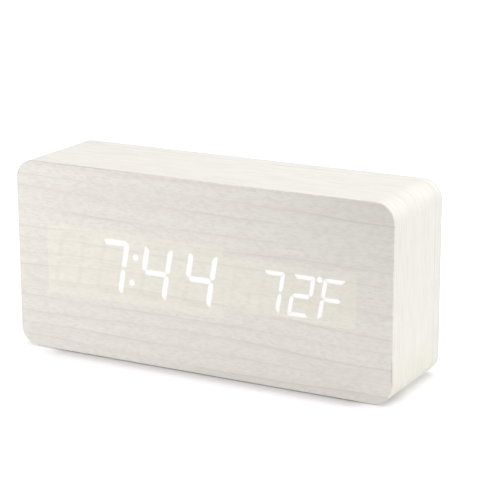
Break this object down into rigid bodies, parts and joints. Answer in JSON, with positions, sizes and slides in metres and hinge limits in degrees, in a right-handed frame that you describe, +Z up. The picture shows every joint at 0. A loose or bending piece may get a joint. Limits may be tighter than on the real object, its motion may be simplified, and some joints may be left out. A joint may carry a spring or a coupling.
{
  "type": "digital led desk clock",
  "caption": "Block desk clock in white-washed wood film with lit seven-segment time and temperature on its front, and a rear cover with buttons, power inlet and a battery door.",
  "frame": {"origin": "middle of the underside, on the surface that the clock stands on", "axes": "+X across the front to the reader's right, the display faces -Y, +Z up"},
  "size_m": [0.15, 0.04, 0.07],
  "materials": {
    "wood_film": "white-washed wood-grain film, satin",
    "wood_board": "raw milled fibreboard",
    "lit_segment": "diffuser, lit white",
    "cream_plastic": "moulded, matt",
    "cover_plastic": "moulded black, fine texture",
    "button_plastic": "moulded black, satin",
    "board_laminate": "green solder mask",
    "die_resin": "resin",
    "screw_steel": "black oxide",
    "nickel": "nickel plate",
    "cell_sleeve": "plain printed sleeve",
    "can_metal": "drawn can",
    "ribbon_vinyl": "flat cable sheath",
    "red_vinyl": "wire sheath",
    "black_vinyl": "wire sheath"
  },
  "bodies": {
    "case": {"front_sheet": "wood_film", "edge_wrap": "wood_film", "rear_sheet": "wood_film", "time_unlit_segments": "wood_film", "temperature_unlit_segments": "wood_film", "core_frame": "wood_board", "time_lit_segments": "lit_segment", "temperature_lit_segments": "lit_segment", "time_display_case": "cream_plastic", "temperature_display_case": "cream_plastic", "control_socket": "cream_plastic", "display_socket": "cream_plastic", "rear_cover": "cover_plastic", "dc_jack": "cover_plastic", "switch_bases": "cover_plastic", "control_chips": "cover_plastic", "buzzer": "cover_plastic", "display_board": "board_laminate", "control_board": "board_laminate", "time_display_base": "board_laminate", "temperature_display_base": "board_laminate", "led_dies": "die_resin", "thermistor": "die_resin", "cover_screws": "screw_steel", "board_screws": "screw_steel", "display_screws": "screw_steel", "cell_contacts": "nickel", "cell_springs": "nickel", "display_pins": "nickel", "dc_jack_pin": "nickel", "timing_crystal": "nickel", "aaa_cells": "cell_sleeve", "capacitor": "can_metal", "ribbon_cable": "ribbon_vinyl", "red_lead": "red_vinyl", "black_lead": "black_vinyl"},
    "set_button": {"set_button": "button_plastic", "set_plunger": "button_plastic"},
    "up_button": {"up_button": "button_plastic", "up_plunger": "button_plastic"},
    "down_button": {"down_button": "button_plastic", "down_plunger": "button_plastic"},
    "battery_door": {"battery_door": "cover_plastic"}
  },
  "joints": [
    {"name": "set_press", "type": "slide", "parent": "case", "child": "set_button", "axis": [0, -1, 0], "range_m": [0, 0.0005], "stiffness_N_per_m": 400, "springref_m": -0.0005},
    {"name": "up_press", "type": "slide", "parent": "case", "child": "up_button", "axis": [0, -1, 0], "range_m": [0, 0.0005], "stiffness_N_per_m": 400, "springref_m": -0.0005},
    {"name": "down_press", "type": "slide", "parent": "case", "child": "down_button", "axis": [0, -1, 0], "range_m": [0, 0.0005], "stiffness_N_per_m": 400, "springref_m": -0.0005},
    {"name": "door_swing", "type": "hinge", "parent": "case", "child": "battery_door", "pos_m": [0.0535, 0.0188, 0.035], "axis": [0, 0, -1], "range_deg": [0, 75]}
  ]
}
